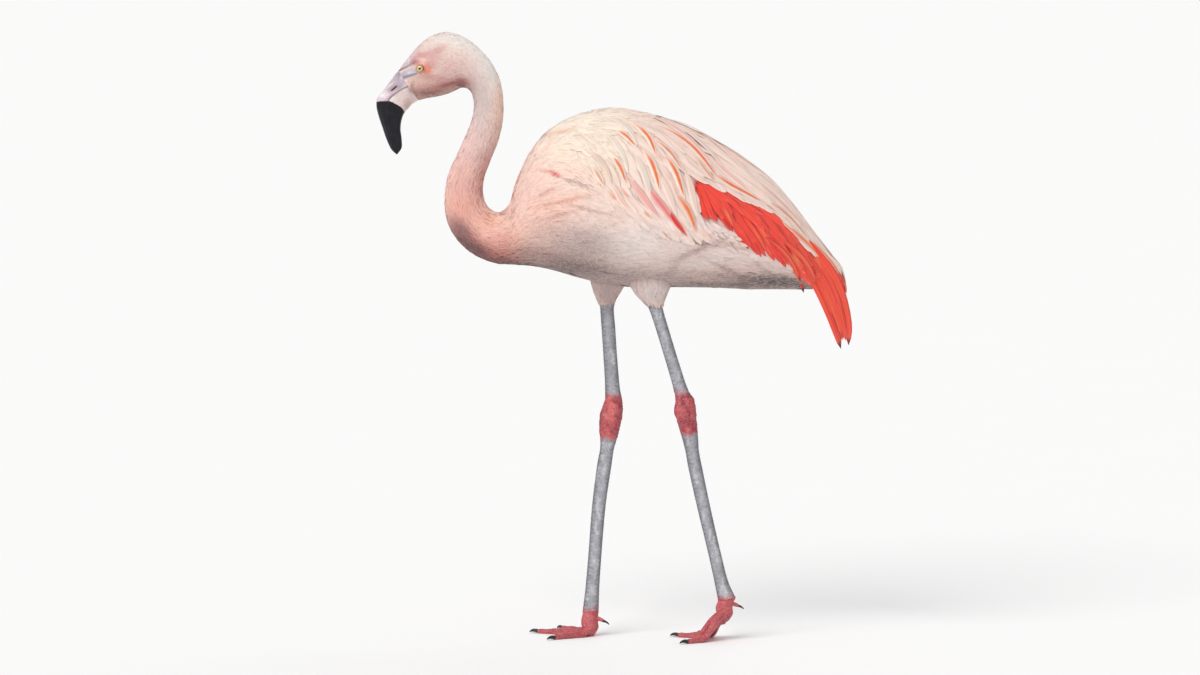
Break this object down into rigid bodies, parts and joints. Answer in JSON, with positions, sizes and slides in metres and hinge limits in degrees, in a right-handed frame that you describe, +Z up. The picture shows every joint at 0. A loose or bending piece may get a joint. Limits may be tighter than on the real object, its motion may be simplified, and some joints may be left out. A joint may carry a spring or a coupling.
{
  "type": "chilean flamingo model",
  "caption": "Life-size still model of an adult Chilean flamingo in a slow walking pose, head low on an S-curved neck, folded wings and webbed feet.",
  "frame": {"origin": "on the floor, under the middle of the bird's bounding box", "axes": "the bird faces -X, its left side faces -Y, and +Z is up"},
  "size_m": [0.7104, 0.2092, 0.9111],
  "materials": {
    "plumage_face": "short velvety feathers, cream to rose",
    "plumage_neck": "short soft feathers, rose",
    "plumage_body": "body feathers, pale salmon",
    "plumage_pale": "soft feathers, near white",
    "plumage_wing": "broad feathers, cream with orange streaks",
    "plumage_red": "long feathers, scarlet with dark tips",
    "bill_base": "horn, satin, near white with a grey bloom",
    "bill_black": "horn, satin black",
    "eye": "wet, pale yellow iris with a black pupil",
    "leg_grey": "scaled skin, blue grey",
    "leg_red": "scaled skin, coral red",
    "claw": "horn, satin black"
  },
  "bodies": {
    "root": {"head": "plumage_face", "bill_upper": "bill_base", "bill_lower": "bill_black", "eye_right": "eye", "eye_left": "eye", "neck_1": "plumage_neck", "neck_2": "plumage_neck", "neck_3": "plumage_neck", "neck_4": "plumage_neck", "thigh_right": "plumage_pale", "shank_right": "leg_grey", "ankle_right": "leg_red", "tarsus_right": "leg_grey", "foot_right": "leg_red", "claw_inner_right": "claw", "claw_middle_right": "claw", "claw_outer_right": "claw", "claw_hind_right": "claw", "thigh_left": "plumage_pale", "shank_left": "leg_grey", "ankle_left": "leg_red", "tarsus_left": "leg_grey", "foot_left": "leg_red", "claw_inner_left": "claw", "claw_middle_left": "claw", "claw_outer_left": "claw", "claw_hind_left": "claw", "trunk": "plumage_body", "tail": "plumage_pale", "wing_right": "plumage_wing", "plumes_right": "plumage_red", "wing_left": "plumage_wing", "plumes_left": "plumage_red"}
  },
  "joints": []
}
